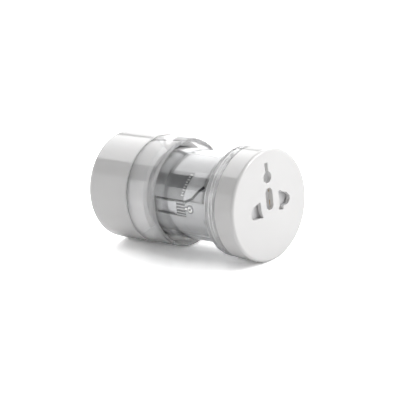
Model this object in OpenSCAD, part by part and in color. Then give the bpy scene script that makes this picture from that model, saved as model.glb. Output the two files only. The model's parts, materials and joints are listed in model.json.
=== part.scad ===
/* [Overall] */
// Length from socket face to pin end with the sleeve drawn out
total_len = 102.6; // [98:0.1:124]
// Radius of the face cover and of the rear cup
shell_r = 29.4; // [29:0.1:36]
// How far the clear ring and clear collar lie inside the white shells
clear_step = 0.4; // [0.1:0.1:0.8]

/* [Lengths along the axis] */
// Depth of the white face cover
cover_len = 12.1; // [11:0.1:15]
// Depth of the clear ring behind the cover
ring_len = 7.1; // [6:0.1:9]
// Barrel length left open between the ring and the collar
waist_len = 36.2; // [34:0.1:44]
// Length of the clear collar
collar_len = 18.4; // [17:0.1:23]

/* [Walls and edges] */
// Wall of the white shells
shell_wall = 2.7; // [2.2:0.1:3.2]
// Thickness of the socket face
face_wall = 2.4; // [2:0.1:3]
// Thickness of the cup's end wall
end_wall = 2.6; // [2:0.1:3.2]
// Wall of the clear ring
ring_wall = 2.0; // [1.5:0.1:2.5]
// Wall of the clear collar
collar_wall = 2.3; // [2.3:0.1:2.8]
// Rounding of the cover's front edge
cover_round = 1.6; // [1:0.1:5]
// Rounding of the cup's rear edge
cup_round = 3.5; // [1:0.1:5]
// Rounding of the small moulded edges
edge_round = 0.6; // [0.2:0.1:0.8]

/* [Barrel] */
// Outer radius of the clear barrel
barrel_r = 23.7; // [23.5:0.1:24.2]
// Wall of the clear barrel
barrel_wall = 2.0; // [1.5:0.1:2.2]
// Wall of the inner liner
liner_wall = 1.5; // [1:0.1:1.6]
// Thickness of the retaining ring at the barrel's rear end
stop_ring_len = 2.0; // [1.5:0.1:3]
// Depth of the guide lip behind the collar's rim
lip_setback = 7.3; // [5:0.1:9]
// Length of the guide lip
lip_len = 2.8; // [2:0.1:4]

/* [Socket holes] */
// Radius of the keyhole's round end
keyhole_r = 3.0; // [2.6:0.1:3.3]
// Height of the keyhole's round end above the axis
keyhole_z = 14.9; // [14:0.1:16]
// Width of the keyhole's slot
keyhole_slot_w = 2.3; // [2:0.1:3]
// Height of the keyhole slot's end above the axis
keyhole_top = 22.5; // [20:0.1:23]
// Width of the middle earth hole
middle_hole_w = 5.4; // [5:0.1:5.8]
// Lowest and highest point of the middle earth hole
middle_hole_low = -2.4; // [-3:0.1:-2]
middle_hole_high = 9.2; // [8:0.1:9.6]

/* [Plug pins] */
// Travel of the flat three-pin set
uk_stroke = 22.7; // [18:0.1:22.7]
// Travel of the round two-pin set
eu_stroke = 19.0; // [15:0.1:22]
// Travel of the blade set
us_stroke = 17.5; // [14:0.1:22]
// Thickness of each sliding carriage
carriage_len = 6.0; // [4:0.1:7.5]
// Half the spacing of the flat pins
uk_half_gap = 11.1; // [11:0.1:11.2]
// Height of the flat pins' centres, from the axis
uk_low_z = -9.0; // [-9.2:0.1:-8.8]
// Width and thickness of the flat pins
uk_pin_w = 6.35; // [6:0.01:6.4]
uk_pin_t = 4.0; // [3.9:0.01:4.1]
// Spacing from the flat pins' line to the earth pin
uk_earth_rise = 22.2; // [22:0.1:22.4]
// Height of the earth pin's section
uk_earth_h = 8.0; // [7.8:0.01:8.1]
// Radius and half spacing of the round pins
eu_pin_r = 2.0; // [1.9:0.01:2.4]
eu_half_gap = 9.5; // [9.3:0.1:9.6]
// Width and thickness of the blades
blade_w = 6.35; // [6.2:0.01:6.5]
blade_t = 1.5; // [1.4:0.01:1.7]
// Half the spacing of the blades, and their height above the axis
blade_half_gap = 6.35; // [6.3:0.01:6.9]
blade_z = 7.0; // [6.8:0.1:7.1]
// Largest swivel of the blades
blade_turn = 30; // [0:1:30]

/* [Line strip behind the clear barrel] */
// Length of the strip's blade
strip_blade_len = 13; // [10:0.5:15]
// Lower and upper edge of the blade, from the axis
strip_blade_low = -2.9; // [-3.4:0.1:-2.4]
strip_blade_high = 3.3; // [2.8:0.1:3.6]
// Number of tines, their width and their spacing
tine_count = 5; // [3:1:5]
tine_w = 0.75; // [0.5:0.05:1]
tine_pitch = 1.55; // [1.3:0.05:1.6]
// Length of the tines between the blade and the comb
tine_len = 9; // [6:0.5:10]
// Width and length of the comb that joins the tines
comb_w = 7.2; // [6.8:0.1:7.6]
comb_len = 1.6; // [1:0.1:2.5]
// Width of the strip's riveted root
strip_root_w = 5.2; // [4:0.1:6]

/* [Slider buttons] */
// Width of a slider button across the barrel
button_w = 6.4; // [5:0.1:8]
// Length of a slider button
button_len = 9.0; // [7:0.1:10]
// Width of the stem that passes through the barrel's slot
stem_w = 3.4; // [2.5:0.1:4]

/* [Clearances] */
// Gap between a moving piece and what it slides on
slide_gap = 0.3; // [0.2:0.05:0.5]
// Gap between a piece and the pocket that it is fitted in
fit_gap = 0.1; // [0.05:0.05:0.2]
// Side gap of a stem in its slot
slot_gap = 0.4; // [0.3:0.05:0.6]
// Radial gap of a blade's shaft in its bearing
shaft_gap = 0.05; // [0.02:0.01:0.1]
// Gap around a pin in the window that it comes out of
window_gap = 0.3; // [0.2:0.05:0.5]

/* [Hidden] */
$fn = 96;

axis_z = shell_r;
face_y = -total_len / 2;
clear_r = shell_r - clear_step;
ring_end = cover_len + ring_len;
collar_start = ring_end + waist_len;
collar_end = collar_start + collar_len;
spigot_len = 3.0;
spigot_wall = 1.2;
cover_in_r = shell_r - shell_wall;
ring_in_r = clear_r - ring_wall;
sleeve_in_r = clear_r - collar_wall;
barrel_in_r = barrel_r - barrel_wall;
liner_out_r = barrel_in_r - slide_gap;
liner_in_r = liner_out_r - liner_wall;
carriage_r = liner_in_r - slide_gap - 0.2;

// guide bush, stop ring and the barrel's rear end
bush_wall = 0.7;
bush_out_r = sleeve_in_r - fit_gap;
bush_in_r = bush_out_r - bush_wall;
lip_start = collar_start + lip_setback;
lip_end = lip_start + lip_len;
stop_play = 0.5;
stop_start = lip_end + stop_play;
barrel_end = stop_start + stop_ring_len;
moving_r = bush_in_r - slide_gap;
bush_end = collar_end + spigot_len - 0.5;

// head: carrier, shutter and the barrel's foot
barrel_foot_len = 2.2;
barrel_foot_start = ring_end - ring_wall - barrel_foot_len;
carrier_r = barrel_in_r - 2 * slide_gap;
carrier_flange_r = cover_in_r - 2 * slide_gap;
carrier_start = face_wall + 2.6;
carrier_flange_len = 3.0;
carrier_end = ring_end + 6.2;
shutter_len = 1.4;
shutter_start = face_wall + 0.5;
shutter_half = 6.3;
shutter_wing_x = 11.2;
shutter_wing_w = 11.6;
shutter_bridge_w = 16;
shutter_bridge_h = 3.2;
pocket_gap = 0.7;
bay_x = 11;
bay_w = 11.4;
bay_h = 13;
fuse_z = -14;
fuse_cap_r = 2.6;
fuse_cap_len = 3.5;
fuse_glass_r = 2.4;
fuse_start = carrier_start + 0.5;
fuse_end = carrier_end;
spring_x = 12;
spring_r = 1.0;
spring_wire_r = 0.25;
spring_turns = 9;
spring_seat_z = -21.6;
spring_seat_t = 1.4;
post_r = 2.6;
post_dist = shell_r - 5.8;
post_angles = [30, 150, 270];
screw_r = 1.1;
screw_head_r = 2.2;
screw_head_len = 1.6;
cross_w = 2.6;
cross_t = 0.6;
pocket_floor = 2;
clip_half_w = 4.2;
clip_half_gap = 5.2;
earth_strip_t = 0.6;

// carriages and pins at rest
carriage_start = ring_end + 8.8;
carriage_end = carriage_start + carriage_len;
pin_flange_len = 1.0;
pin_flange_step = 0.5;
round_flange_step = 0.6;
tip_s = barrel_end + 2.0;
uk_earth_z = uk_low_z + uk_earth_rise;
pin_bed = 0.9;
uk_beam_drop = 4.4;
uk_beam_h = 8.6;
uk_web_h = 31.8;
uk_arm_drop = 2.3;
uk_arm_h = 7.5;
uk_arm_reach = 4;
eu_bed = 3.2;
us_beam_drop = 2.8;
us_bed = 5.25;
us_arm_reach = 14;
rotor_r = 3.4;
rotor_len = 4.0;
rotor_start = carriage_end + slide_gap;
neck_r = 1.8;
tip_chamfer = 1.2;
tip_step = 0.8;
flat_sleeve_t = 0.28;
round_sleeve_t = 0.22;
skin_gap = 0.02;
flat_sleeve_len = 12;
round_sleeve_len = 20;
stem_root_r = 15;
button_angles = [-32, 0, 32];
strokes = [uk_stroke, eu_stroke, us_stroke];
stem_slot_w = stem_w + 2 * slot_gap;

// bus strips
bus_t = 1.0;
bus_out_r = liner_out_r - 0.2;
bus_w = 5.0;
bus_start = carrier_end;
bus_leg_len = 0.8;
bus_leg_inner_r = 12;
line_leg_w = 7;
bus_gap = 0.3;
neutral_tab = [[2, -14], [7, -14], [14.5, -3], [8, -3]];
earth_tab = [[0, 6], [4, 6], [7, 14], [2, 14]];
liner_start = carrier_end + 1.2;
comb_low = -4.0;
strip_lap = 0.5;
side_cut_depth = 9;
window_margin = 0.6;
window_top_margin = 0.9;
fork_end = collar_start + 3.6;
neutral_bus_angle = -75;
earth_bus_angle = 75;
bus_angles = [180, neutral_bus_angle, earth_bus_angle];
rivet_s = bus_start + 9.5;
rivet_r = 0.9;
rivet_head_r = 1.7;

// socket hole outlines, as (across, up) from the axis
line_hole = [[-7.2, 3.9], [-12.9, 2.4], [-15.0, 0.3], [-14.6, -3.0], [-12.8, -4.2],
    [-7.9, -4.6], [-5.9, -5.2], [-7.0, -1.6]];
neutral_hole = [[7.4, 5.2], [9.0, 5.3], [10.7, 4.0], [13.8, 2.9], [15.8, 0.6], [15.7, -1.3],
    [14.0, -3.2], [10.2, -3.6], [10.1, -5.4], [6.5, -4.3], [7.5, -2.6]];

// ---- helpers ----

// A point's direction as a vector of length one
function unit(v) = v / norm(v);

// The arc that rounds corner b between a and c
function corner_arc(a, b, c, r, steps = 5) =
    let (u = unit(a - b), v = unit(c - b), half = acos(u * v) / 2)
    let (mid = b + unit(u + v) * (r / sin(half)), p = b + u * (r / tan(half)), q = b + v * (r / tan(half)))
    [for (i = [0 : steps]) mid + r * unit((p - mid) * (steps - i) + (q - mid) * i)];

// A closed outline with every corner rounded
function rounded(pts, r) =
    let (n = len(pts))
    [for (i = [0 : n - 1]) each corner_arc(pts[(i + n - 1) % n], pts[i], pts[(i + 1) % n], r)];

// Moves to the adapter's axis at a distance behind the socket face
module on_axis(s = 0) {
    translate([0, face_y + s, axis_z]) children();
}

// Extrudes an (across, up) outline between two stations
module slab(s0, s1) {
    on_axis(s1) rotate([90, 0, 0]) linear_extrude(s1 - s0) children();
}

// Turns a (radius, station) outline about the axis
module spun() {
    on_axis() rotate([-90, 0, 0]) rotate_extrude() children();
}

// A plain tube between two stations
module tube(s0, s1, r_in, r_out) {
    spun() translate([r_in, s0]) square([r_out - r_in, s1 - s0]);
}

// A block along a radius: from r0 to r1, w wide, between two stations
module radial_block(angle, r0, r1, w, s0, s1) {
    on_axis() rotate([0, -angle, 0]) translate([r0, s0, -w / 2]) cube([r1 - r0, s1 - s0, w]);
}

// Outline of a wall section with its outer front edge rounded
module front_round_outline(r, s0, s1, round_r) {
    translate([0, s0 + round_r]) square([r, s1 - s0 - round_r]);
    translate([0, s0]) square([r - round_r, s1 - s0]);
    translate([r - round_r, s0 + round_r]) circle(round_r);
}

// Outline of a wall section with its outer rear edge rounded
module rear_round_outline(r, s0, s1, round_r) {
    translate([0, s0]) square([r, s1 - s0 - round_r]);
    translate([0, s0]) square([r - round_r, s1 - s0]);
    translate([r - round_r, s1 - round_r]) circle(round_r);
}

// ---- socket hole shapes ----

module keyhole_outline(grow = 0) {
    translate([0, keyhole_z]) circle(keyhole_r + grow);
    translate([-keyhole_slot_w / 2 - grow, keyhole_z])
        square([keyhole_slot_w + 2 * grow, keyhole_top - keyhole_z + grow]);
}

module middle_hole_outline(grow = 0) {
    hole_r = middle_hole_w / 2;
    translate([0, middle_hole_low + hole_r]) circle(hole_r + grow);
    translate([0, middle_hole_high - hole_r]) circle(hole_r + grow);
    translate([-hole_r - grow, middle_hole_low + hole_r])
        square([middle_hole_w + 2 * grow, middle_hole_high - middle_hole_low - middle_hole_w]);
}

module face_holes_outline() {
    keyhole_outline();
    middle_hole_outline();
    polygon(rounded(line_hole, 0.5));
    polygon(rounded(neutral_hole, 0.4));
}

// ---- plug pin lanes ----

module flat_pin_outline(side, gap = 0) {
    translate([side * uk_half_gap, uk_low_z])
        square([uk_pin_w + 2 * gap, uk_pin_t + 2 * gap], center = true);
}

module earth_pin_outline(gap = 0) {
    translate([0, uk_earth_z]) square([uk_pin_t + 2 * gap, uk_earth_h + 2 * gap], center = true);
}

module round_pin_outline(side, gap = 0) {
    translate([side * eu_half_gap, 0]) circle(eu_pin_r + gap);
}

// The room that a blade needs over its whole swivel
module blade_sweep_outline(side) {
    translate([side * blade_half_gap, blade_z]) intersection() {
        circle(blade_w / 2 + 2 * window_gap);
        for (i = [0 : 2])
            rotate(-side * i * blade_turn / 2)
                square([blade_t + 2 * window_gap, blade_w + 4 * window_gap], center = true);
    }
}

module window_outline() {
    for (side = [-1, 1]) {
        flat_pin_outline(side, window_gap);
        round_pin_outline(side, window_gap);
        blade_sweep_outline(side);
    }
    earth_pin_outline(window_gap);
}

// ---- head ----

module face_cover() {
    color([0.95, 0.94, 0.92]) union() {
        difference() {
            spun() front_round_outline(shell_r, 0, cover_len, cover_round);
            slab(face_wall, cover_len + 1) circle(cover_in_r);
            slab(-1, face_wall + 1) face_holes_outline();
        }
        for (a = post_angles)
            difference() {
                slab(face_wall, carrier_start) rotate(a) translate([post_dist, 0]) circle(post_r, $fn = 48);
                slab(face_wall, carrier_start + 1) rotate(a) translate([post_dist, 0])
                    circle(screw_r + fit_gap, $fn = 48);
            }
    }
}

module shutter() {
    color([0.78, 0.78, 0.78]) slab(shutter_start, shutter_start + shutter_len) {
        for (side = [-1, 1])
            translate([side * shutter_wing_x, 0]) square([shutter_wing_w, 2 * shutter_half], center = true);
        translate([-shutter_bridge_w / 2, -shutter_half - shutter_bridge_h + 0.2])
            square([shutter_bridge_w, shutter_bridge_h]);
    }
}

// Rings of points along a coil about the upright line through x
function coil_ring(t, x, low, high) =
    let (a = 360 * spring_turns * t, z = low + spring_wire_r + (high - low - 2 * spring_wire_r) * t)
    [for (k = [0 : 4]) let (b = 72 * k, r = spring_r + spring_wire_r * cos(b))
        [x + r * cos(a), r * sin(a), z + spring_wire_r * sin(b)]];

module coil(x, low, high) {
    steps = spring_turns * 8;
    points = [for (i = [0 : steps]) each coil_ring(i / steps, x, low, high)];
    sides = [for (i = [0 : steps - 1], k = [0 : 4])
        [5 * i + k, 5 * i + (k + 1) % 5, 5 * i + 5 + (k + 1) % 5, 5 * i + 5 + k]];
    caps = [[for (k = [4 : -1 : 0]) k], [for (k = [0 : 4]) 5 * steps + k]];
    polyhedron(points, concat(sides, caps), convexity = 10);
}

module shutter_springs() {
    color([0.6, 0.6, 0.62]) on_axis(shutter_start + shutter_len / 2 + 0.1)
        for (side = [-1, 1])
            coil(side * spring_x, spring_seat_z, -shutter_half);
}

module contact_carrier() {
    color([0.72, 0.72, 0.73]) difference() {
        union() {
            slab(carrier_start, carrier_start + carrier_flange_len) circle(carrier_flange_r);
            slab(carrier_start, carrier_end) circle(carrier_r);
            slab(shutter_start, carrier_start + 1) intersection() {
                circle(carrier_flange_r);
                for (side = [-1, 1])
                    translate([side * spring_x, spring_seat_z - spring_seat_t / 2 - fit_gap])
                        square([4.6, spring_seat_t], center = true);
            }
        }
        slab(carrier_start - 1, carrier_end - pocket_floor) {
            intersection() {
                keyhole_outline(pocket_gap);
                circle(carrier_r - 1);
            }
            middle_hole_outline(pocket_gap);
        }
        for (side = [-1, 1])
            slab(carrier_start - 1, carrier_end + 1)
                translate([side * bay_x, 0]) square([bay_w, bay_h], center = true);
        slab(fuse_start, carrier_end + 1) translate([0, fuse_z]) circle(fuse_cap_r + fit_gap);
        for (a = post_angles)
            slab(carrier_start - 1, carrier_end + 1) rotate(a) translate([post_dist, 0])
                circle(screw_r + fit_gap, $fn = 48);
    }
}

// Half outline of a clip, as (station, up): out along the leaf to its flared mouth and back inside
function leaf_points(side) =
    let (pinch = carrier_start + 4.4, mouth = carrier_start + 2.4, bend = carrier_start + 7)
    [for (p = [[carrier_end, 0], [carrier_end - 2, 0], [bend, -1.1], [pinch, -1.6], [mouth, -0.2],
        [mouth, -1.0], [pinch, -2.4], [bend, -1.9], [carrier_end - bus_leg_len, -0.8]])
        [p[0], side * (clip_half_gap + p[1])]];

// A sprung socket clip: a base at the rear and two leaves that pinch at the front
module clip(x) {
    upper = leaf_points(1);
    outline = concat(leaf_points(-1), [for (i = [len(upper) - 1 : -1 : 0]) upper[i]]);
    on_axis() translate([x - clip_half_w, 0, 0]) rotate([90, 0, 90])
        linear_extrude(2 * clip_half_w) polygon(outline);
}

module line_contact() {
    color([0.80, 0.63, 0.32]) clip(-bay_x);
}

module neutral_contact() {
    color([0.80, 0.63, 0.32]) clip(bay_x);
}

module earth_contact() {
    mid_z = (middle_hole_low + middle_hole_high) / 2;
    strip_x = (middle_hole_w + pocket_gap) / 2;
    color([0.80, 0.63, 0.32]) slab(carrier_start + 3, carrier_end - pocket_floor)
        for (side = [-1, 1])
            translate([side * strip_x, mid_z])
                square([earth_strip_t, middle_hole_high - middle_hole_low - middle_hole_w], center = true);
}

module fuse_tube() {
    color([0.9, 0.93, 0.93, 0.6]) slab(fuse_start + fuse_cap_len, fuse_end - fuse_cap_len)
        translate([0, fuse_z]) circle(fuse_glass_r);
}

module fuse_caps() {
    color([0.78, 0.78, 0.8]) for (s = [fuse_start, fuse_end - fuse_cap_len])
        slab(s, s + fuse_cap_len) translate([0, fuse_z]) circle(fuse_cap_r);
}

// A head screw at one post: shank, head and a cross recess
module head_screw(a) {
    head_s = carrier_start + carrier_flange_len;
    difference() {
        union() {
            slab(face_wall + slide_gap, head_s + 0.5) rotate(a) translate([post_dist, 0])
                circle(screw_r, $fn = 48);
            slab(head_s, head_s + screw_head_len) rotate(a) translate([post_dist, 0])
                circle(screw_head_r, $fn = 48);
        }
        slab(head_s + screw_head_len / 2, head_s + 2 * screw_head_len) rotate(a) translate([post_dist, 0])
            for (turn = [0, 90]) rotate(turn) square([cross_w, cross_t], center = true);
    }
}

module head_screws() {
    color([0.6, 0.6, 0.62]) for (a = post_angles) head_screw(a);
}

module clear_ring() {
    color([0.86, 0.9, 0.93, 0.5]) difference() {
        spun() rear_round_outline(clear_r, cover_len, ring_end, edge_round);
        slab(cover_len - 1, ring_end - ring_wall) circle(ring_in_r);
        slab(cover_len - 1, ring_end + 1) circle(barrel_r + fit_gap);
    }
}

// ---- barrel ----

module slider_slots(extra) {
    for (i = [0 : 2])
        radial_block(button_angles[i], carriage_r, barrel_r + 2, stem_slot_w + extra,
            carriage_start - slot_gap, carriage_end + strokes[i] + slot_gap);
}

module clear_barrel() {
    color([0.86, 0.9, 0.93, 0.5]) difference() {
        union() {
            tube(barrel_foot_start, barrel_end, barrel_in_r, barrel_r);
            tube(barrel_foot_start, ring_end - ring_wall, barrel_in_r, ring_in_r - fit_gap);
        }
        slider_slots(0);
    }
}

// Outline of the line strip seen from its side: a blade, its tines, their comb and a riveted root
module fork_outline() {
    comb_start = fork_end - strip_blade_len - tine_len;
    first_tine = strip_blade_high - strip_lap - tine_w / 2;
    difference() {
        union() {
            translate([fork_end - strip_blade_len, strip_blade_low])
                square([strip_blade_len, strip_blade_high - strip_blade_low]);
            for (i = [0 : tine_count - 1])
                translate([comb_start, first_tine - i * tine_pitch - tine_w / 2])
                    square([tine_len + 2 * strip_lap, tine_w]);
            translate([comb_start, comb_low]) square([comb_len, comb_w]);
            translate([bus_start, -strip_root_w / 2])
                square([comb_start - bus_start + strip_lap, strip_root_w]);
        }
        translate([rivet_s, 0]) circle(rivet_r + fit_gap, $fn = 48);
    }
}

module side_cut() {
    on_axis() translate([-liner_out_r - 1, 0, 0]) rotate([90, 0, 90])
        linear_extrude(side_cut_depth) fork_outline();
}

module bus_sector(angle, grow = 0) {
    radial_block(angle, liner_in_r - 2, liner_out_r + 2, bus_w + 2 * grow,
        bus_start - grow, collar_start + grow);
}

module inner_liner() {
    color([0.88, 0.88, 0.88]) difference() {
        tube(liner_start, lip_end, liner_in_r, liner_out_r);
        slider_slots(slot_gap);
        on_axis() translate([-liner_out_r - 1, bus_start, comb_low - window_margin])
            cube([side_cut_depth, fork_end - bus_start + window_margin,
                strip_blade_high - comb_low + window_margin + window_top_margin]);
        bus_sector(neutral_bus_angle, bus_gap);
        bus_sector(earth_bus_angle, bus_gap);
    }
}

module bus_leg(angle, r0, w) {
    radial_block(angle, r0, bus_out_r - 0.2, w, bus_start, bus_start + bus_leg_len);
}

module line_bus() {
    color([0.75, 0.75, 0.76]) union() {
        intersection() {
            tube(bus_start, fork_end, bus_out_r - bus_t, bus_out_r);
            side_cut();
        }
        bus_leg(180, bus_leg_inner_r, line_leg_w);
    }
}

module side_bus(angle) {
    difference() {
        intersection() {
            tube(bus_start, collar_start, bus_out_r - bus_t, bus_out_r);
            bus_sector(angle);
        }
        at_rivets([angle], bus_out_r - 2 * bus_t, bus_out_r + bus_t, rivet_r + fit_gap);
    }
    bus_leg(angle, bus_leg_inner_r, bus_w);
}

module neutral_bus() {
    color([0.75, 0.75, 0.76]) union() {
        side_bus(neutral_bus_angle);
        slab(bus_start, bus_start + bus_leg_len) polygon(neutral_tab);
    }
}

module earth_bus() {
    color([0.80, 0.63, 0.32]) union() {
        side_bus(earth_bus_angle);
        slab(bus_start, bus_start + bus_leg_len) polygon(earth_tab);
    }
}

// A round shape that stands on a radius at each bus strip's rivet
module at_rivets(angles, r0, r1, r) {
    for (a = angles)
        on_axis(rivet_s) rotate([0, 90 - a, 0]) translate([0, 0, r0])
            cylinder(h = r1 - r0, r = r, $fn = 48);
}

module bus_rivets() {
    color([0.85, 0.85, 0.86]) union() {
        at_rivets(bus_angles, bus_out_r - bus_t - 0.4, bus_out_r + 0.3, rivet_r);
        at_rivets(bus_angles, bus_out_r + 0.02, bus_out_r + 0.3, rivet_head_r);
    }
}

module pin_guide_plate() {
    color([0.7, 0.7, 0.72]) slab(lip_end + fit_gap, barrel_end - 0.4) difference() {
        circle(barrel_in_r - fit_gap);
        window_outline();
    }
}

module stop_ring() {
    color([0.86, 0.86, 0.86]) tube(stop_start, barrel_end, barrel_r + shaft_gap, moving_r);
}

// ---- sliding plug sets ----

// A slider button over its slot, on the stem of its carriage
module slider_button(angle) {
    mid_s = (carriage_start + carriage_end) / 2;
    foot_r = barrel_r + slide_gap;
    rib_r = moving_r;
    pad_r = (foot_r + rib_r) / 2 + 0.1;
    union() {
        intersection() {
            tube(mid_s - button_len / 2, mid_s + button_len / 2, foot_r, pad_r);
            radial_block(angle, 10, shell_r, button_w, 0, total_len);
        }
        for (i = [-2 : 2])
            intersection() {
                tube(mid_s + 1.8 * i - 0.45, mid_s + 1.8 * i + 0.45, foot_r, rib_r);
                radial_block(angle, 10, shell_r, button_w - 1, 0, total_len);
            }
    }
}

// The stem that joins a carriage to its button
module stem(angle, r0) {
    intersection() {
        radial_block(angle, r0, shell_r, stem_w, carriage_start, carriage_end);
        tube(carriage_start, carriage_end, 0, barrel_r + slide_gap - 0.05);
    }
}

module uk_carriage() {
    web_in = -uk_half_gap - uk_pin_w / 2 + pin_bed;
    foot_z = uk_low_z - uk_beam_drop;
    color([0.25, 0.25, 0.27]) difference() {
        union() {
            slab(carriage_start, carriage_end) intersection() {
                circle(carriage_r);
                union() {
                    translate([-carriage_r, foot_z]) square([2 * carriage_r, uk_beam_h]);
                    translate([-carriage_r, foot_z]) square([carriage_r + web_in, uk_web_h]);
                    translate([-carriage_r, uk_earth_z - uk_arm_drop])
                        square([carriage_r + uk_arm_reach, uk_arm_h]);
                }
            }
            stem(button_angles[0], stem_root_r);
        }
        slab(carriage_start - 1, carriage_end + 1) {
            for (side = [-1, 1]) flat_pin_outline(side, fit_gap);
            earth_pin_outline(fit_gap);
        }
    }
}

// A pin from its flange in front of the carriage to its chamfered tip
module lane_pin(half_w, half_h, x, z) {
    union() {
        slab(carriage_start - pin_flange_len, carriage_start)
            translate([x, z])
                square([2 * (half_w + pin_flange_step), 2 * (half_h + pin_flange_step)], center = true);
        slab(carriage_start - pin_flange_len / 2, tip_s - tip_chamfer)
            translate([x, z]) square([2 * half_w, 2 * half_h], center = true);
        intersection() {
            slab(tip_s - tip_chamfer - 0.1, tip_s)
                translate([x, z]) square([2 * half_w, 2 * half_h], center = true);
            on_axis() translate([x, 0, z]) rotate([90, 0, 90])
                translate([0, 0, -half_w]) linear_extrude(2 * half_w)
                    polygon([[tip_s - 3, -half_h], [tip_s - tip_chamfer, -half_h],
                        [tip_s, -half_h + tip_step], [tip_s, half_h - tip_step],
                        [tip_s - tip_chamfer, half_h], [tip_s - 3, half_h]]);
        }
    }
}

module uk_line_pin() {
    color([0.82, 0.82, 0.83]) lane_pin(uk_pin_w / 2, uk_pin_t / 2, -uk_half_gap, uk_low_z);
}

module uk_neutral_pin() {
    color([0.82, 0.82, 0.83]) lane_pin(uk_pin_w / 2, uk_pin_t / 2, uk_half_gap, uk_low_z);
}

module uk_earth_pin() {
    color([0.82, 0.82, 0.83]) lane_pin(uk_pin_t / 2, uk_earth_h / 2, 0, uk_earth_z);
}

module uk_pin_sleeves() {
    color([0.15, 0.15, 0.16]) slab(carriage_end + fit_gap, carriage_end + flat_sleeve_len)
        for (side = [-1, 1]) difference() {
            flat_pin_outline(side, flat_sleeve_t);
            flat_pin_outline(side, skin_gap);
        }
}

module uk_button() {
    color([0.9, 0.9, 0.9]) slider_button(button_angles[0]);
}

module eu_carriage() {
    half_h = blade_z - rotor_r - slot_gap;
    color([0.35, 0.35, 0.37]) union() {
        slab(carriage_start, carriage_end) difference() {
            intersection() {
                circle(carriage_r);
                translate([-eu_half_gap - eu_bed, -half_h]) square([2 * carriage_r, 2 * half_h]);
            }
            for (side = [-1, 1]) round_pin_outline(side, fit_gap);
        }
        stem(button_angles[1], stem_root_r);
    }
}

module round_pin(side) {
    color([0.82, 0.82, 0.83]) union() {
        slab(carriage_start - pin_flange_len, carriage_start)
            translate([side * eu_half_gap, 0]) circle(eu_pin_r + round_flange_step);
        slab(carriage_start - pin_flange_len / 2, tip_s - eu_pin_r)
            round_pin_outline(side);
        on_axis(tip_s - eu_pin_r) translate([side * eu_half_gap, 0, 0])
            rotate([-90, 0, 0]) rotate_extrude() intersection() {
                circle(eu_pin_r);
                translate([0, -0.01]) square(eu_pin_r + 0.01);
            }
    }
}

module eu_line_pin() {
    round_pin(-1);
}

module eu_neutral_pin() {
    round_pin(1);
}

module eu_pin_sleeves() {
    color([0.15, 0.15, 0.16]) slab(carriage_end + fit_gap, carriage_end + round_sleeve_len)
        for (side = [-1, 1]) difference() {
            round_pin_outline(side, round_sleeve_t);
            round_pin_outline(side, skin_gap);
        }
}

module eu_button() {
    color([0.9, 0.9, 0.9]) slider_button(button_angles[1]);
}

module us_carriage() {
    low = blade_z - us_beam_drop;
    high = blade_z + us_beam_drop;
    half_w = blade_half_gap + us_bed;
    color([0.45, 0.45, 0.47]) union() {
        slab(carriage_start, carriage_end) difference() {
            translate([-half_w, low]) square([half_w + us_arm_reach, high - low]);
            earth_pin_outline(pin_flange_step + slide_gap);
            for (side = [-1, 1])
                translate([side * blade_half_gap, blade_z]) circle(neck_r + shaft_gap);
        }
        stem(button_angles[2], stem_root_r - 2);
    }
}

module us_button() {
    color([0.9, 0.9, 0.9]) slider_button(button_angles[2]);
}

module blade(side) {
    color([0.82, 0.82, 0.83]) difference() {
        slab(rotor_start + rotor_len, tip_s) translate([side * blade_half_gap, blade_z])
            square([blade_t, blade_w], center = true);
        for (end = [-1, 1])
            on_axis(tip_s) translate([side * blade_half_gap, 0, blade_z + end * blade_w / 2])
                rotate([end * 45, 0, 0]) cube([blade_t + 1, 1.6, 1.6], center = true);
    }
}

module rotor(side) {
    color([0.2, 0.2, 0.22]) union() {
        slab(rotor_start, rotor_start + rotor_len)
            translate([side * blade_half_gap, blade_z]) circle(rotor_r);
        slab(carriage_start - 0.2, rotor_start + 0.5)
            translate([side * blade_half_gap, blade_z]) circle(neck_r);
        slab(carriage_start - 1.0, carriage_start - 0.2)
            translate([side * blade_half_gap, blade_z]) circle(neck_r + 0.5);
    }
}

module line_blade() {
    blade(-1);
}

module line_rotor() {
    rotor(-1);
}

module neutral_blade() {
    blade(1);
}

module neutral_rotor() {
    rotor(1);
}

// ---- telescoping sleeve ----

module guide_bush() {
    color([0.95, 0.94, 0.92]) difference() {
        union() {
            tube(lip_start, bush_end, bush_in_r, bush_out_r);
            tube(lip_start, lip_end, barrel_r + slide_gap, bush_out_r - 0.1);
        }
        for (a = button_angles)
            radial_block(a, barrel_r - 2, bush_in_r, button_w + 2 * slot_gap, lip_start - 1, lip_end + 1);
    }
}

module clear_collar() {
    rim = collar_start;
    color([0.86, 0.9, 0.93, 0.5]) difference() {
        union() {
            spun() front_round_outline(clear_r, rim, collar_end, edge_round);
            tube(collar_end - 1, collar_end + spigot_len, sleeve_in_r, sleeve_in_r + spigot_wall);
        }
        slab(rim - 1, collar_end + spigot_len + 1) circle(sleeve_in_r);
    }
}

module rear_cup() {
    color([0.95, 0.94, 0.92]) difference() {
        spun() rear_round_outline(shell_r, collar_end, total_len, cup_round);
        slab(collar_end - 1, total_len - end_wall) circle(sleeve_in_r);
        slab(collar_end - 1, collar_end + spigot_len + fit_gap) circle(sleeve_in_r + spigot_wall + fit_gap);
        slab(total_len - end_wall - 1, total_len + 1) window_outline();
    }
}

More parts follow.
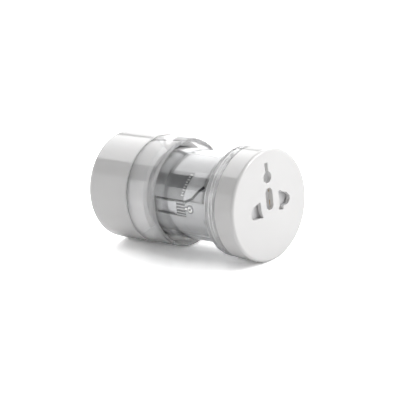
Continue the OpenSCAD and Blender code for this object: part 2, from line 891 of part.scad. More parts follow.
face_cover();
shutter();
shutter_springs();
contact_carrier();
line_contact();
neutral_contact();
earth_contact();
fuse_tube();
fuse_caps();
head_screws();
clear_ring();
clear_barrel();
inner_liner();
line_bus();
neutral_bus();
earth_bus();
bus_rivets();
pin_guide_plate();
stop_ring();
uk_carriage();
uk_line_pin();
uk_neutral_pin();
uk_earth_pin();
uk_pin_sleeves();
uk_button();
eu_carriage();
eu_line_pin();
eu_neutral_pin();
eu_pin_sleeves();
eu_button();
us_carriage();
us_button();
line_blade();
line_rotor();
neutral_blade();
neutral_rotor();
guide_bush();
clear_collar();
rear_cup();
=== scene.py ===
"""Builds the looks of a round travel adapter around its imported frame."""

import json
import logging
import math
from dataclasses import dataclass, field
from enum import Enum
from typing import Iterable, Sequence

import bmesh
import bpy
from mathutils import Matrix, Vector


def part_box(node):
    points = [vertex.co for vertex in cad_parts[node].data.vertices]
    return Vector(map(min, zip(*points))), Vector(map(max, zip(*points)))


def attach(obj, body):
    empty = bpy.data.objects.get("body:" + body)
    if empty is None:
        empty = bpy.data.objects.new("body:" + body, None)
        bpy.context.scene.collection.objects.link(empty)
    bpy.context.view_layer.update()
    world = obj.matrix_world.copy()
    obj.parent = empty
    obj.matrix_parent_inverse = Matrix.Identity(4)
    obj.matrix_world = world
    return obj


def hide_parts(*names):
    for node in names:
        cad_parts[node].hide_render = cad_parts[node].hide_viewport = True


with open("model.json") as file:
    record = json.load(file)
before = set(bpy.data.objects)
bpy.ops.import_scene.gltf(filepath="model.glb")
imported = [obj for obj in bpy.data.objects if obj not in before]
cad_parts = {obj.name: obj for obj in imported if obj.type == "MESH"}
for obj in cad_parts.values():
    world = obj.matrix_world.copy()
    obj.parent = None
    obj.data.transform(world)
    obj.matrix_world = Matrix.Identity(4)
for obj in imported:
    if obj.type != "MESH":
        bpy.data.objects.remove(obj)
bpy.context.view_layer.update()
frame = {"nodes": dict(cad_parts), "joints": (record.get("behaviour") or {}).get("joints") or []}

LOG = logging.getLogger("adapter")
MM = 0.001
Point = tuple[float, float]
Triple = tuple[float, float, float]
BUTTONS = ("uk_button", "eu_button", "us_button")
SMOOTH_BELOW = math.radians(32.0)  # flatter edges are shaded smooth
BREAK_ABOVE = math.radians(40.0)  # sharper edges are broken after a cut
FLAT_BELOW = math.radians(0.4)  # faces that meet flatter than this become one after a spin
WRAP_STEP = math.radians(2.0)  # how finely a wrapped shape is bent
SPIN_STEPS = 192  # how many pieces a turned shell is made of
MERGE = 1e-7  # nearer points are one, in metres
OVERCUT = 1 * MM  # how far a cutter stands out of the wall that it cuts


# ---- shared shader effects ----


def new_group(name: str, inputs: dict[str, float], outputs: dict[str, str]) -> bpy.types.NodeTree:
    """Makes an empty shader node group.

    Args:
        name: the group's name.
        inputs: each number input and its default value.
        outputs: each output and its socket type.

    Returns:
        The group, with its Group Input and Group Output nodes in it.
    """
    group = bpy.data.node_groups.new(name, "ShaderNodeTree")
    for key, value in inputs.items():
        socket = group.interface.new_socket(name=key, in_out="INPUT", socket_type="NodeSocketFloat")
        socket.default_value = value
    for key, kind in outputs.items():
        group.interface.new_socket(name=key, in_out="OUTPUT", socket_type=kind)
    group.nodes.new("NodeGroupInput").name = "in"
    group.nodes.new("NodeGroupOutput").name = "out"
    return group


def moulded_surface_group() -> bpy.types.NodeTree:
    """Makes the faint unevenness of a moulded plastic: a slow flow wave, a fine grain and handling smudges.

    Returns:
        The group. Its outputs are Height for a bump, and Smudge and Tone as masks from 0 to 1.
    """
    group = new_group(
        "moulded surface",
        {"Wave Scale": 60.0, "Grain Scale": 1800.0, "Grain Share": 0.15, "Smudge Scale": 90.0},
        {"Height": "NodeSocketFloat", "Smudge": "NodeSocketFloat", "Tone": "NodeSocketFloat"},
    )
    nodes, links = group.nodes, group.links
    source, sink = nodes["in"], nodes["out"]
    place = nodes.new("ShaderNodeTexCoord")

    def noise(scale_name: str, detail: float, rough: float) -> bpy.types.Node:
        """Makes a noise over Object coordinates whose scale is a group input."""
        node = nodes.new("ShaderNodeTexNoise")
        node.inputs["Detail"].default_value = detail
        node.inputs["Roughness"].default_value = rough
        links.new(place.outputs["Object"], node.inputs["Vector"])
        links.new(source.outputs[scale_name], node.inputs["Scale"])
        return node

    wave = noise("Wave Scale", 1.0, 0.4)
    grain = noise("Grain Scale", 2.0, 0.6)
    smudge = noise("Smudge Scale", 4.0, 0.65)
    mix = nodes.new("ShaderNodeMix")
    links.new(source.outputs["Grain Share"], mix.inputs["Factor"])
    links.new(wave.outputs["Fac"], mix.inputs["A"])
    links.new(grain.outputs["Fac"], mix.inputs["B"])
    links.new(mix.outputs["Result"], sink.inputs["Height"])
    ramp = nodes.new("ShaderNodeMapRange")
    ramp.inputs["From Min"].default_value = 0.45
    ramp.inputs["From Max"].default_value = 0.75
    links.new(smudge.outputs["Fac"], ramp.inputs["Value"])
    links.new(ramp.outputs["Result"], sink.inputs["Smudge"])
    links.new(wave.outputs["Fac"], sink.inputs["Tone"])
    return group


def brushed_group() -> bpy.types.NodeTree:
    """Makes the drawn lines of stamped or plated metal, which run along the adapter's axis.

    Returns:
        The group. Its outputs are Height for a bump and Lines as a mask from 0 to 1.
    """
    group = new_group(
        "drawn metal",
        {"Line Scale": 2600.0, "Stretch": 0.03},
        {"Height": "NodeSocketFloat", "Lines": "NodeSocketFloat"},
    )
    nodes, links = group.nodes, group.links
    source, sink = nodes["in"], nodes["out"]
    place = nodes.new("ShaderNodeTexCoord")
    combine = nodes.new("ShaderNodeCombineXYZ")
    combine.inputs["X"].default_value = 1.0
    combine.inputs["Z"].default_value = 1.0
    links.new(source.outputs["Stretch"], combine.inputs["Y"])
    scaled = nodes.new("ShaderNodeVectorMath")
    scaled.operation = "MULTIPLY"
    links.new(place.outputs["Object"], scaled.inputs[0])
    links.new(combine.outputs["Vector"], scaled.inputs[1])
    lines = nodes.new("ShaderNodeTexNoise")
    lines.inputs["Detail"].default_value = 3.0
    links.new(scaled.outputs["Vector"], lines.inputs["Vector"])
    links.new(source.outputs["Line Scale"], lines.inputs["Scale"])
    links.new(lines.outputs["Fac"], sink.inputs["Height"])
    links.new(lines.outputs["Fac"], sink.inputs["Lines"])
    return group


# ---- finishes ----


@dataclass
class Surface:
    """A material whose tone, roughness and relief follow a shared effect.

    Attributes:
        material: the material.
        skin: its Principled node.
        effect: its node of the shared effect.
    """

    material: bpy.types.Material
    skin: bpy.types.Node
    effect: bpy.types.Node


def new_surface(
    name: str, group: bpy.types.NodeTree, tones: tuple[Triple, Triple], tone_mask: str,
    rough: Point, rough_mask: str, relief: float,
) -> Surface:
    """Makes a material round a shared effect.

    Args:
        name: the material's name.
        group: the shared effect.
        tones: the linear base colours where the tone mask is 0 and where it is 1.
        tone_mask: the effect's output that mixes them.
        rough: the roughness where its mask is 0 and where it is 1.
        rough_mask: the effect's output that mixes it.
        relief: height of the bumps, in metres.

    Returns:
        The material with its main nodes.
    """
    material = bpy.data.materials.new(name)
    material.use_nodes = True
    nodes, links = material.node_tree.nodes, material.node_tree.links
    skin = nodes["Principled BSDF"]
    effect = nodes.new("ShaderNodeGroup")
    effect.node_tree = group
    tone = nodes.new("ShaderNodeMix")
    tone.data_type = "RGBA"
    tone.inputs["A"].default_value = (*tones[0], 1.0)
    tone.inputs["B"].default_value = (*tones[1], 1.0)
    links.new(effect.outputs[tone_mask], tone.inputs["Factor"])
    links.new(tone.outputs["Result"], skin.inputs["Base Color"])
    span = nodes.new("ShaderNodeMapRange")
    span.inputs["To Min"].default_value, span.inputs["To Max"].default_value = rough
    links.new(effect.outputs[rough_mask], span.inputs["Value"])
    links.new(span.outputs["Result"], skin.inputs["Roughness"])
    bump = nodes.new("ShaderNodeBump")
    bump.inputs["Strength"].default_value = 1.0
    bump.inputs["Distance"].default_value = relief
    links.new(effect.outputs["Height"], bump.inputs["Height"])
    links.new(bump.outputs["Normal"], skin.inputs["Normal"])
    return Surface(material, skin, effect)


@dataclass(frozen=True)
class Plastic:
    """A moulded plastic.

    Attributes:
        name: the material's name.
        color: base colour, linear.
        shade: darker colour of its slow tone changes, linear.
        rough: least and greatest roughness.
        coat: weight of the polished skin.
        bump: height of the surface's unevenness, in metres.
        wave_scale: scale of the slow wave.
        grain_share: share of fine grain in the unevenness.
        clear: share of light that passes through.
        ior: index of refraction.
        milk: subsurface weight.
        painted_fill_glow: light the piece gives off itself, painted in for the light that would reach it through
            the shells round it.
    """

    name: str
    color: Triple
    shade: Triple
    rough: Point = (0.12, 0.22)
    coat: float = 0.0
    bump: float = 0.00002
    wave_scale: float = 60.0
    grain_share: float = 0.15
    clear: float = 0.0
    ior: float = 1.49
    milk: float = 0.0
    painted_fill_glow: float = 0.0

    def build(self, groups: dict[str, bpy.types.NodeTree]) -> bpy.types.Material:
        """Makes the material.

        Args:
            groups: the shared effects by name.

        Returns:
            The material.
        """
        surface = new_surface(
            self.name, groups["moulded"], (self.shade, self.color), "Tone", self.rough, "Smudge", self.bump)
        surface.effect.inputs["Wave Scale"].default_value = self.wave_scale
        surface.effect.inputs["Grain Share"].default_value = self.grain_share
        values = {
            "IOR": self.ior, "Transmission Weight": self.clear,
            "Coat Weight": self.coat, "Coat Roughness": 0.04,
            "Subsurface Weight": self.milk, "Subsurface Radius": (0.6, 0.55, 0.5), "Subsurface Scale": 0.002,
            "Emission Color": (1.0, 1.0, 1.0, 1.0), "Emission Strength": self.painted_fill_glow,
        }
        for key, value in values.items():
            surface.skin.inputs[key].default_value = value
        return surface.material


@dataclass(frozen=True)
class Metal:
    """A plated or stamped metal.

    Attributes:
        name: the material's name.
        color: base colour, linear.
        worn: colour between the drawn lines, linear.
        rough: least and greatest roughness.
        bump: height of the drawn lines, in metres.
    """

    name: str
    color: Triple
    worn: Triple
    rough: Point = (0.16, 0.34)
    bump: float = 0.000006

    def build(self, groups: dict[str, bpy.types.NodeTree]) -> bpy.types.Material:
        """Makes the material.

        Args:
            groups: the shared effects by name.

        Returns:
            The material.
        """
        surface = new_surface(
            self.name, groups["drawn"], (self.worn, self.color), "Lines", self.rough[::-1], "Lines", self.bump)
        surface.skin.inputs["Metallic"].default_value = 1.0
        return surface.material


class Finish(Enum):
    """The adapter's finishes."""

    WHITE = Plastic("white shell", (0.76, 0.755, 0.752), (0.73, 0.725, 0.722), (0.1, 0.17), 0.8, milk=0.04)
    CLEAR = Plastic(
        "clear barrel", (0.96, 0.965, 0.97), (0.94, 0.945, 0.95), (0.01, 0.05),
        bump=0.000008, clear=1.0, ior=1.57)
    SATIN = Plastic(
        "clear collar", (0.97, 0.97, 0.972), (0.94, 0.94, 0.944), (0.02, 0.06), bump=0.000008, clear=0.76)
    LINER = Plastic("inner liner", (0.44, 0.44, 0.445), (0.4, 0.4, 0.405), (0.12, 0.2), 1.0)
    PAD = Plastic("liner pad", (0.64, 0.64, 0.645), (0.58, 0.58, 0.585), (0.1, 0.16), 1.0)
    PANEL = Plastic("liner panel", (0.27, 0.27, 0.275), (0.23, 0.23, 0.235), (0.18, 0.3), 0.6)
    # Carrier grey gives off a little light of its own: painted light that lifts the shade in the hollows behind
    # the socket holes.
    GREY = Plastic(
        "carrier grey", (0.62, 0.62, 0.625), (0.57, 0.57, 0.575), (0.4, 0.55), grain_share=0.7, painted_fill_glow=0.22)
    SHUTTER = Plastic("shutter grey", (0.66, 0.66, 0.665), (0.6, 0.6, 0.605), (0.35, 0.5), grain_share=0.7)
    DARK = Plastic("carriage dark", (0.04, 0.04, 0.045), (0.03, 0.03, 0.034), (0.4, 0.6), grain_share=0.8)
    # Black for the pin sleeves and rotors, and also for the sheets, bands and discs that paint shade and shadow
    # into the barrel.
    BLACK = Plastic("insulation and painted shade black", (0.016, 0.016, 0.018), (0.012, 0.012, 0.013), (0.3, 0.45))
    SLIDER = Plastic("slider white", (0.7, 0.7, 0.695), (0.64, 0.64, 0.635), (0.3, 0.42), grain_share=0.5)
    PIN = Metal("nickel plate", (0.78, 0.77, 0.75), (0.68, 0.67, 0.65), (0.1, 0.22))
    BRASS = Metal("stamped brass", (0.78, 0.57, 0.24), (0.62, 0.43, 0.17))
    STRIP = Metal("tinned strip", (0.33, 0.33, 0.335), (0.27, 0.27, 0.275), (0.22, 0.4))
    STEEL = Metal("zinc plate", (0.55, 0.55, 0.56), (0.42, 0.42, 0.43), (0.22, 0.4))
    GLASS = Plastic("fuse glass", (0.97, 0.98, 0.98), (0.95, 0.96, 0.96), (0.01, 0.03), clear=1.0, ior=1.5)


class Paintbox:
    """Builds each finish once and hands it out."""

    def __init__(self) -> None:
        """Makes the shared effects."""
        self.groups = {"moulded": moulded_surface_group(), "drawn": brushed_group()}
        self.made: dict[Finish, bpy.types.Material] = {}

    def get(self, finish: Finish) -> bpy.types.Material:
        """Returns the finish's material."""
        if finish not in self.made:
            self.made[finish] = finish.value.build(self.groups)
        return self.made[finish]

    def dress(self, piece: bpy.types.Object, finish: Finish) -> None:
        """Gives a piece one finish in all its material slots, and a slot if it has none."""
        if piece.material_slots:
            for place in piece.material_slots:
                place.material = self.get(finish)
        else:
            piece.data.materials.append(self.get(finish))


# ---- stations and modelling tools ----


@dataclass(frozen=True)
class Span:
    """A node's reach: along the axis from the socket face, and its outer radius, in metres."""

    start: float
    end: float
    radius: float


@dataclass
class Axis:
    """The adapter's axis and its stations, read from the frame.

    Attributes:
        face_y: where the socket face lies along Y.
        height: height of the axis.
    """

    face_y: float = field(default_factory=lambda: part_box("face_cover")[0][1])
    height: float = field(default_factory=lambda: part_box("face_cover")[1][2] / 2)

    def span(self, node: str) -> Span:
        """Measures a node against the axis.

        Args:
            node: the CAD node's name.

        Returns:
            Its first and last station and its outer radius.
        """
        low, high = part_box(node)
        reach = max(abs(low[0]), abs(high[0]), high[2] - self.height, self.height - low[2])
        return Span(low[1] - self.face_y, high[1] - self.face_y, reach)

    def middle(self, node: str) -> Point:
        """Returns how far a node's middle lies across the axis and above it."""
        low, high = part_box(node)
        return (low[0] + high[0]) / 2, (low[2] + high[2]) / 2 - self.height

    def angle(self, node: str) -> float:
        """Returns the angle above +X at which a node's middle lies, in radians."""
        across, above = self.middle(node)
        return math.atan2(above, across)

    def place(self) -> Matrix:
        """Returns the move from local axes, where Z is the station, to the frame."""
        return Matrix.Translation((0.0, self.face_y, self.height)) @ Matrix.Rotation(-math.pi / 2, 4, "X")


def round_corner(center: Point, radius: float, start: float, end: float, steps: int = 8) -> list[Point]:
    """Points of an arc in a (radius, station) outline.

    Args:
        center: the arc's centre.
        radius: the arc's radius.
        start: first angle in degrees, from outwards towards the rear.
        end: last angle in degrees.
        steps: how many pieces the arc is made of.

    Returns:
        The points from start to end.
    """
    points = []
    for step in range(steps + 1):
        angle = math.radians(start + (end - start) * step / steps)
        points.append((center[0] + radius * math.cos(angle), center[1] + radius * math.sin(angle)))
    return points


def shell_outline(corners: Sequence[Triple], steps: int = 8) -> list[Point]:
    """Rounds the corners of a closed outline.

    Args:
        corners: each corner as (radius, station, rounding).
        steps: how many pieces each rounding is made of.

    Returns:
        The outline's points in order.
    """
    points: list[Point] = []
    count = len(corners)
    for index, (x, y, rounding) in enumerate(corners):
        here = Vector((x, y))
        if rounding <= 0:
            points.append((x, y))
            continue
        before = (Vector(corners[index - 1][:2]) - here).normalized()
        after = (Vector(corners[(index + 1) % count][:2]) - here).normalized()
        half = math.acos(max(-1.0, min(1.0, before.dot(after)))) / 2
        middle = here + (before + after).normalized() * (rounding / math.sin(half))
        first = here + before * (rounding / math.tan(half))
        last = here + after * (rounding / math.tan(half))
        for step in range(steps + 1):
            blend = (first - middle) * (steps - step) + (last - middle) * step
            spot = middle + blend.normalized() * rounding
            points.append((spot.x, spot.y))
    return points


def band(line: Sequence[Point], width: float) -> list[Point]:
    """Gives a line a width.

    Args:
        line: the points of the line.
        width: the band's width.

    Returns:
        The band's closed outline.
    """
    left, right = [], []
    for index, spot in enumerate(line):
        before = Vector(line[max(index - 1, 0)])
        after = Vector(line[min(index + 1, len(line) - 1)])
        along = (after - before).normalized()
        side = Vector((-along.y, along.x)) * (width / 2)
        left.append(tuple(Vector(spot) + side))
        right.append(tuple(Vector(spot) - side))
    return left + right[::-1]


def smooth_line(points: Sequence[Point], steps: int = 6) -> list[Point]:
    """Runs a smooth line through its points.

    Args:
        points: the points to pass through.
        steps: how many pieces each stretch is made of.

    Returns:
        The points of the line.
    """
    line = []
    for index in range(len(points) - 1):
        first = Vector(points[max(index - 1, 0)])
        start, end = Vector(points[index]), Vector(points[index + 1])
        last = Vector(points[min(index + 2, len(points) - 1)])
        for step in range(steps):
            t = step / steps
            spot = 0.5 * (
                2 * start + (end - first) * t + (2 * first - 5 * start + 4 * end - last) * t ** 2
                + (3 * start - first - 3 * end + last) * t ** 3)
            line.append(tuple(spot))
    return line + [tuple(points[-1])]


def link_object(name: str, data: bpy.types.ID) -> bpy.types.Object:
    """Puts a mesh, a light or a camera into the scene.

    Args:
        name: the object's name.
        data: what it shows.

    Returns:
        The object.
    """
    item = bpy.data.objects.new(name, data)
    bpy.context.scene.collection.objects.link(item)
    return item


def mesh_object(name: str, mesh: bmesh.types.BMesh) -> bpy.types.Object:
    """Turns a bmesh into an object in the scene.

    Args:
        name: the object's name.
        mesh: the bmesh, which is freed.

    Returns:
        The object.
    """
    data = bpy.data.meshes.new(name)
    mesh.to_mesh(data)
    mesh.free()
    return link_object(name, data)


def shade_smooth(mesh: bmesh.types.BMesh) -> None:
    """Shades a bmesh smooth, and keeps its sharp edges sharp."""
    for edge in mesh.edges:
        edge.smooth = len(edge.link_faces) == 2 and edge.calc_face_angle(0.0) < SMOOTH_BELOW
    for face in mesh.faces:
        face.smooth = True


class Workshop:
    """Makes finished mesh objects for the adapter."""

    def __init__(self, axis: Axis, paint: Paintbox) -> None:
        """Keeps the axis and the finishes."""
        self.axis = axis
        self.paint = paint

    def finish_mesh(self, name: str, mesh: bmesh.types.BMesh, finish: Finish) -> bpy.types.Object:
        """Turns a bmesh in the frame's axes into a dressed object.

        Args:
            name: the piece's name.
            mesh: the bmesh, which is freed.
            finish: the piece's finish.

        Returns:
            The object.
        """
        shade_smooth(mesh)
        piece = mesh_object(name, mesh)
        self.paint.dress(piece, finish)
        return piece

    def spin(self, outline: Sequence[Point], closed: bool = True) -> bmesh.types.BMesh:
        """Turns a (radius, station) outline about the axis.

        Args:
            outline: the outline's points.
            closed: whether its last point joins its first. An outline with both ends on the axis stays open.

        Returns:
            The closed shell, in the frame's axes.
        """
        mesh = bmesh.new()
        ring = [mesh.verts.new((x, 0.0, y)) for x, y in outline]
        first = 0 if closed else 1
        edges = [mesh.edges.new((ring[i - 1], ring[i])) for i in range(first, len(ring))]
        bmesh.ops.spin(
            mesh, geom=ring + edges, cent=(0, 0, 0), axis=(0, 0, 1), angle=math.tau,
            steps=SPIN_STEPS, use_merge=True, use_duplicate=False,
        )
        bmesh.ops.remove_doubles(mesh, verts=mesh.verts, dist=MERGE)
        bmesh.ops.dissolve_degenerate(mesh, edges=mesh.edges, dist=MERGE)
        bmesh.ops.dissolve_limit(mesh, angle_limit=FLAT_BELOW, verts=mesh.verts, edges=mesh.edges)
        bmesh.ops.recalc_face_normals(mesh, faces=mesh.faces)
        bmesh.ops.transform(mesh, matrix=self.axis.place(), verts=mesh.verts)
        return mesh

    def radial_block(
        self, angle: float, r0: float, r1: float, width: float, start: float, end: float,
    ) -> bmesh.types.BMesh:
        """Makes a block along a radius.

        Args:
            angle: the radius's angle above +X, in radians.
            r0: the block's inner reach.
            r1: its outer reach.
            width: its width across the radius.
            start: its first station.
            end: its last station.

        Returns:
            The block, in the frame's axes.
        """
        mesh = bmesh.new()
        bmesh.ops.create_cube(mesh, size=1.0)
        size = Matrix.Diagonal((r1 - r0, end - start, width, 1.0))
        move = Matrix.Translation(((r0 + r1) / 2, (start + end) / 2, 0.0))
        home = Matrix.Translation((0.0, self.axis.face_y, self.axis.height))
        turn = Matrix.Rotation(-angle, 4, "Y")
        bmesh.ops.transform(mesh, matrix=home @ turn @ move @ size, verts=mesh.verts)
        return mesh

    def prism(self, outline: Sequence[Point], start: float, end: float) -> bmesh.types.BMesh:
        """Extrudes an (across, up) outline between two stations.

        Args:
            outline: the outline's points, counted from the axis.
            start: the first station.
            end: the last station.

        Returns:
            The closed solid, in the frame's axes.
        """
        mesh = bmesh.new()
        origin = Vector((0.0, self.axis.face_y + start, self.axis.height))
        loop = [mesh.verts.new(origin + Vector((x, 0.0, z))) for x, z in outline]
        cap = mesh.faces.new(loop)
        grown = bmesh.ops.extrude_face_region(mesh, geom=[cap])
        moved = [v for v in grown["geom"] if isinstance(v, bmesh.types.BMVert)]
        bmesh.ops.translate(mesh, vec=(0.0, end - start, 0.0), verts=moved)
        bmesh.ops.recalc_face_normals(mesh, faces=mesh.faces)
        return mesh

    def wrap(
        self, outlines: Iterable[Sequence[Point]], r0: float, r1: float, edge: float = 0.0,
    ) -> bmesh.types.BMesh:
        """Bends flat shapes round the axis, on the side that faces -X.

        Args:
            outlines: closed outlines as (arc length above the axis, station), in metres, at r1.
            r0: the shapes' inner radius.
            r1: their outer radius.
            edge: width of the broken outer edges.

        Returns:
            The closed shapes, in the frame's axes.
        """
        mesh = bmesh.new()
        for outline in outlines:
            cap = mesh.faces.new([mesh.verts.new((u, v, 0.0)) for u, v in outline])
            grown = bmesh.ops.extrude_face_region(mesh, geom=[cap])
            lid = [v for v in grown["geom"] if isinstance(v, bmesh.types.BMVert)]
            bmesh.ops.translate(mesh, vec=(0.0, 0.0, r1 - r0), verts=lid)
            rim = [e for e in mesh.edges if all(v in lid for v in e.verts)]
            if edge > 0:
                bmesh.ops.bevel(
                    mesh, geom=rim, offset=edge, offset_type="OFFSET", affect="EDGES", segments=2,
                    profile=0.5, material=-1)
        step = WRAP_STEP * r1
        reach = max(abs(v.co.x) for v in mesh.verts)
        for index in range(-int(reach / step), int(reach / step) + 1):
            bmesh.ops.bisect_plane(
                mesh, geom=mesh.verts[:] + mesh.edges[:] + mesh.faces[:], dist=MERGE,
                plane_co=(index * step, 0.0, 0.0), plane_no=(1.0, 0.0, 0.0))
        bmesh.ops.recalc_face_normals(mesh, faces=mesh.faces)
        for vert in mesh.verts:
            angle, radius = vert.co.x / r1, r0 + vert.co.z
            across, above = -radius * math.cos(angle), radius * math.sin(angle)
            vert.co = Vector((across, self.axis.face_y + vert.co.y, self.axis.height + above))
        bmesh.ops.recalc_face_normals(mesh, faces=mesh.faces)
        return mesh

    def cut(self, piece: bpy.types.Object, tools: Iterable[bmesh.types.BMesh], bevel: float) -> None:
        """Cuts tools out of a piece, then breaks its sharp edges and evens its shading.

        Args:
            piece: the piece that is cut.
            tools: the solids to take away, which are freed.
            bevel: width of the broken edges.
        """
        cutters = []
        for tool in tools:
            cutter = mesh_object("cutter", tool)
            cutters.append(cutter)
            step = piece.modifiers.new("cut", "BOOLEAN")
            step.operation = "DIFFERENCE"
            step.solver = "EXACT"
            step.object = cutter
        edge = piece.modifiers.new("broken edges", "BEVEL")
        edge.width = bevel
        edge.segments = 3
        edge.limit_method = "ANGLE"
        edge.angle_limit = BREAK_ABOVE
        self.apply(piece)
        mesh = bmesh.new()
        mesh.from_mesh(piece.data)
        shade_smooth(mesh)
        mesh.to_mesh(piece.data)
        mesh.free()
        even = piece.modifiers.new("even shading", "WEIGHTED_NORMAL")
        even.keep_sharp = True
        self.apply(piece)
        for cutter in cutters:
            data = cutter.data
            bpy.data.objects.remove(cutter)
            bpy.data.meshes.remove(data)

    @staticmethod
    def apply(piece: bpy.types.Object) -> None:
        """Applies all of a piece's modifiers."""
        bpy.context.view_layer.update()
        graph = bpy.context.evaluated_depsgraph_get()
        data = bpy.data.meshes.new_from_object(piece.evaluated_get(graph))
        old = piece.data
        piece.modifiers.clear()
        piece.data = data
        bpy.data.meshes.remove(old)


def install(piece: bpy.types.Object, node: str, body: str) -> None:
    """Puts a piece in a CAD node's place.

    Args:
        piece: the finished piece.
        node: the CAD node that it stands for.
        body: the body that it rides on.
    """
    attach(piece, body)
    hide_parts(node)
    LOG.info("%s stands for %s on %s", piece.name, node, body)


# ---- head ----

# Corners of the two side holes, in millimetres across and above the axis.
LINE_HOLE = (
    (-7.2, 3.9), (-12.9, 2.4), (-15.0, 0.3), (-14.6, -3.0), (-12.8, -4.2), (-7.9, -4.6),
    (-5.9, -5.2), (-7.0, -1.6))
NEUTRAL_HOLE = (
    (7.4, 5.2), (9.0, 5.3), (10.7, 4.0), (13.8, 2.9), (15.8, 0.6), (15.7, -1.3), (14.0, -3.2),
    (10.2, -3.6), (10.1, -5.4), (6.5, -4.3), (7.5, -2.6))


@dataclass
class Head:
    """The socket end: the white cover with its holes, and the clear ring.

    Attributes:
        shop: makes the pieces.
        wall: wall of the cover, in metres.
        face_wall: thickness of the socket face.
        front_round: rounding of the cover's front edge.
        edge_round: rounding of the small edges.
        ring_wall: wall of the clear ring.
        ring_mouth: radius of the ring's mouth round the barrel.
        ring_gap: gap between the cover and the ring.
        hole_edge: broken edge of the socket holes.
    """

    shop: Workshop
    wall: float = 2.7 * MM
    face_wall: float = 2.4 * MM
    front_round: float = 1.6 * MM
    edge_round: float = 0.5 * MM
    ring_wall: float = 2.0 * MM
    ring_mouth: float = 23.8 * MM
    ring_gap: float = 0.05 * MM
    hole_edge: float = 0.22 * MM

    def keyhole(self) -> list[Point]:
        """Outline of the keyhole: a round end with an upright slot."""
        radius, height, half_slot, top = 3.0 * MM, 14.9 * MM, 1.15 * MM, 22.5 * MM
        opening = math.degrees(math.asin(half_slot / radius))
        bulb = round_corner((0.0, height), radius, 90 + opening, 450 - opening, 40)
        return [(half_slot, top), (-half_slot, top)] + bulb

    def middle_hole(self) -> list[Point]:
        """Outline of the upright rounded hole in the middle."""
        half, low, high = 2.7 * MM, -2.4 * MM, 9.2 * MM
        top = round_corner((0.0, high - half), half, 0, 180, 20)
        return top + round_corner((0.0, low + half), half, 180, 360, 20)

    def side_hole(self, corners: Sequence[Point], rounding: float) -> list[Point]:
        """Outline of a side hole with rounded corners.

        Args:
            corners: the corners in millimetres.
            rounding: their rounding in metres.

        Returns:
            The outline in metres.
        """
        return shell_outline([(x * MM, z * MM, rounding) for x, z in corners], 5)

    def build_cover(self) -> None:
        """Makes the white cover with its four socket holes."""
        reach = self.shop.axis.span("face_cover")
        inner = reach.radius - self.wall
        outline = shell_outline([
            (0.0, 0.0, 0.0), (reach.radius, 0.0, self.front_round), (reach.radius, reach.end, self.edge_round),
            (inner, reach.end, 0.3 * MM), (inner, self.face_wall, 0.8 * MM), (0.0, self.face_wall, 0.0),
        ], 12)
        cover = self.shop.finish_mesh("white_face_cover", self.shop.spin(outline, closed=False), Finish.WHITE)
        outlines = [
            self.keyhole(), self.middle_hole(),
            self.side_hole(LINE_HOLE, 0.5 * MM), self.side_hole(NEUTRAL_HOLE, 0.4 * MM)]
        tools = [self.shop.prism(shape, -OVERCUT, self.face_wall + OVERCUT) for shape in outlines]
        self.shop.cut(cover, tools, self.hole_edge)
        install(cover, "face_cover", "head")

    def build_ring(self) -> None:
        """Makes the clear ring that holds the barrel's foot."""
        reach = self.shop.axis.span("clear_ring")
        start, step = reach.start + self.ring_gap, reach.end - self.ring_wall
        inner = reach.radius - self.ring_wall
        outline = shell_outline([
            (reach.radius, start, 0.3 * MM), (reach.radius, reach.end, 0.6 * MM),
            (self.ring_mouth, reach.end, 0.3 * MM), (self.ring_mouth, step, 0.2 * MM),
            (inner, step, 0.4 * MM), (inner, start, 0.2 * MM),
        ], 6)
        ring = self.shop.finish_mesh("clear_front_ring", self.shop.spin(outline), Finish.SATIN)
        install(ring, "clear_ring", "head")

    def build(self) -> None:
        """Makes the whole head."""
        self.build_cover()
        self.build_ring()


# ---- barrel ----


